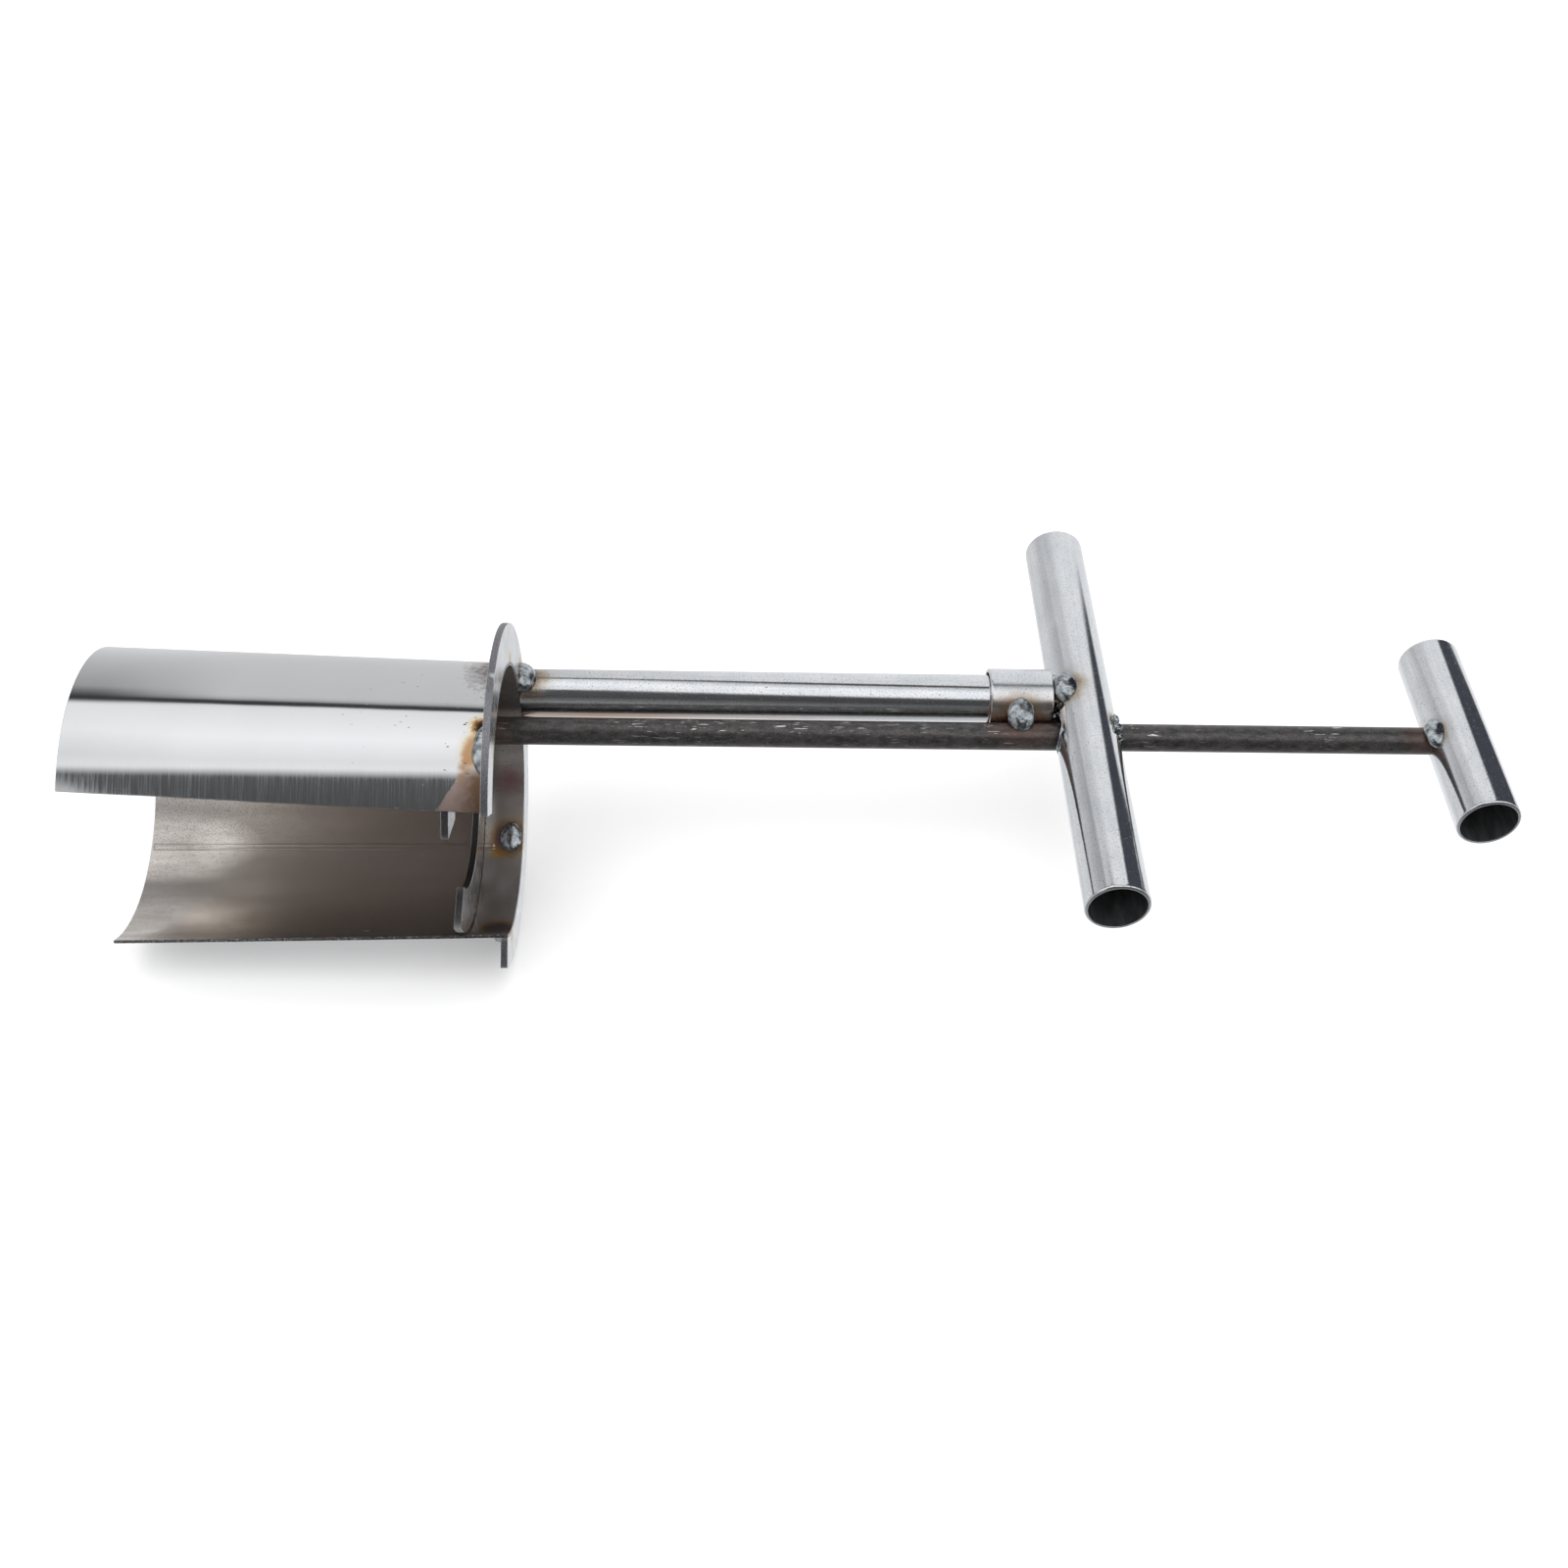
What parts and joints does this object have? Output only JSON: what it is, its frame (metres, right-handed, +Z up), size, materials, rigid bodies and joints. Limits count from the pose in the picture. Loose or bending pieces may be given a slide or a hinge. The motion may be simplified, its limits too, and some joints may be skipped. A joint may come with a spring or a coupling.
{
  "type": "soil plug auger",
  "caption": "Hand soil plug auger: C-shaped steel coring shell with step flange and side window on a pipe stem with cross handle, and a sliding rod that pushes the plug out.",
  "frame": {"origin": "centre of the round cutting rim, on the shell's axis", "axes": "+X along the tool from the cutting rim towards the push handle, +Y from the side window towards the stem side and along both handles, +Z up when the tool lies on a bench"},
  "size_m": [0.5884, 0.22, 0.1428],
  "materials": {
    "polished_stainless": "mirror polished outside, dull and heat-tinted inside",
    "cut_plate": "mill plate with sawn edges",
    "galvanised_pipe": "satin galvanised",
    "hot_rolled_bar": "dark mill scale with bright scratches",
    "weld_metal": "as welded, with brown heat tint"
  },
  "bodies": {
    "digger": {"core_shell": "polished_stainless", "shell_seam": "polished_stainless", "step_flange": "cut_plate", "flange_shell_welds": "weld_metal", "shell_inner_weld": "weld_metal", "main_stem": "galvanised_pipe", "stem_flange_welds": "weld_metal", "cross_handle": "galvanised_pipe", "stem_handle_welds": "weld_metal", "hole_spatter": "weld_metal"},
    "pusher": {"push_rod": "hot_rolled_bar", "push_handle": "galvanised_pipe", "guide_sleeve": "galvanised_pipe", "pusher_plate": "cut_plate", "sleeve_rod_weld": "weld_metal", "rod_handle_welds": "weld_metal", "rod_plate_weld": "weld_metal"}
  },
  "joints": [
    {"name": "push_slide", "type": "slide", "parent": "digger", "child": "pusher", "axis": [-1, 0, 0], "range_m": [0, 0.13]}
  ]
}
